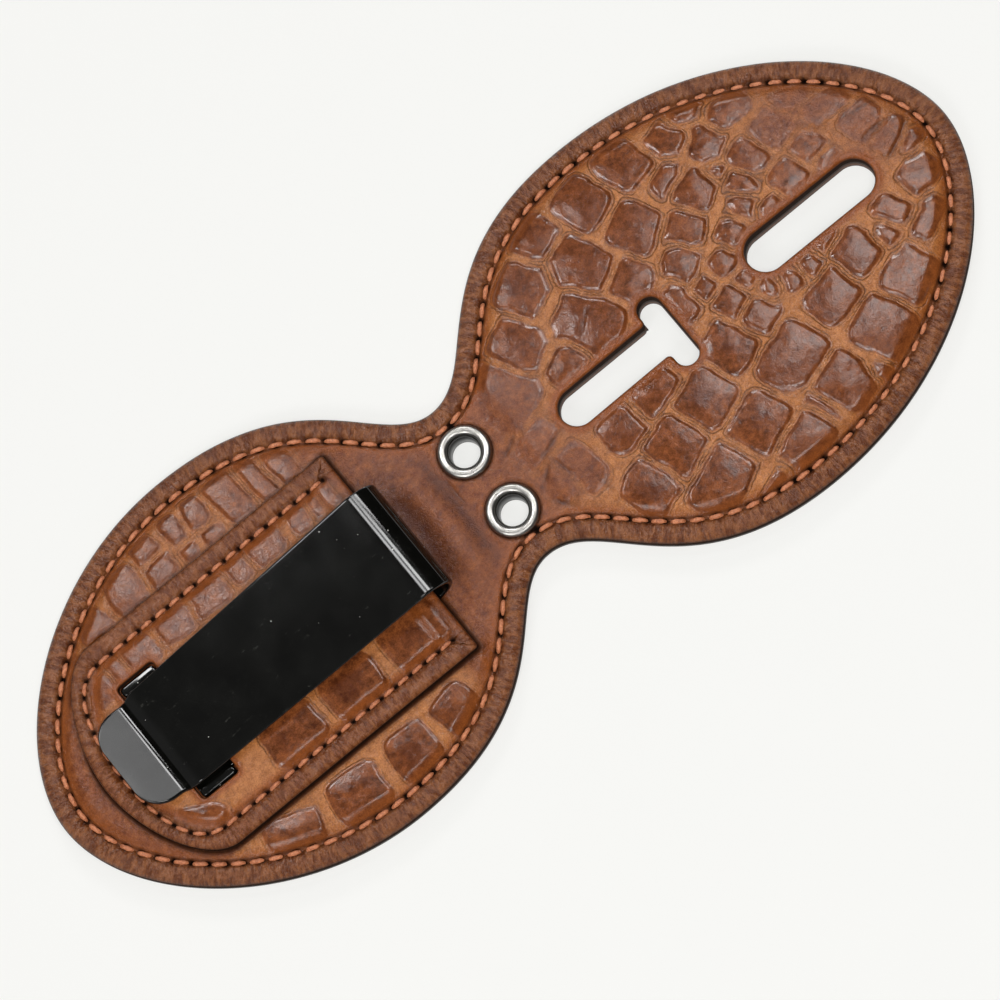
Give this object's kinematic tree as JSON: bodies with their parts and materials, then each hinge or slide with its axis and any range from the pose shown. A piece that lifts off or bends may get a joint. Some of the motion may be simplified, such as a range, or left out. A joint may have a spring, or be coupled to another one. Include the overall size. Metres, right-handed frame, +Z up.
{
  "type": "badge holder",
  "caption": "Fold-over leather badge holder, shown open, with pin slots, neck-chain eyelets and a stitched pocket holding a sprung steel belt clip.",
  "frame": {"origin": "centre of the bounding box in X and Y, on the plane that the holder rests on", "axes": "+X from the clip leaf to the badge leaf, +Z up out of the embossed outer side, +Y across the leaves"},
  "size_m": [0.1926, 0.0754, 0.0142],
  "materials": {
    "outer_leather": "crocodile-embossed, waxed cognac brown, satin",
    "lining_leather": "plain brown, matte",
    "board": "plain fibre board",
    "thread": "waxed orange-tan thread",
    "nickel": "polished nickel plate",
    "black_steel": "glossy black on spring steel",
    "tape": "hook and loop tape, matte"
  },
  "bodies": {
    "clip_leaf": {"outer_leather_clip": "outer_leather", "lining_clip": "lining_leather", "stiffener_clip": "board", "edge_thread_clip": "thread", "pocket_patch": "outer_leather", "patch_thread": "thread", "clip_base": "black_steel", "loop_pad": "tape", "loop_pad_thread": "thread"},
    "badge_leaf": {"outer_leather_badge": "outer_leather", "lining_badge": "lining_leather", "stiffener_badge": "board", "edge_thread_badge": "thread", "eyelet_left": "nickel", "eyelet_right": "nickel", "eyelet_washer_left": "nickel", "eyelet_washer_right": "nickel", "hook_pad": "tape", "hook_pad_thread": "thread"},
    "clip_arm": {"clip_arm": "black_steel"}
  },
  "joints": [
    {"name": "fold", "type": "hinge", "parent": "clip_leaf", "child": "badge_leaf", "pos_m": [-0.0119, 0, -0.0001], "axis": [0, 1, 0], "range_deg": [0, 180]},
    {"name": "clip_spring", "type": "hinge", "parent": "clip_leaf", "child": "clip_arm", "pos_m": [-0.0193, 0, 0.0097], "axis": [0, 1, 0], "range_deg": [0, 12], "stiffness_Nm_per_rad": 6.5, "springref_deg": -1.72}
  ]
}
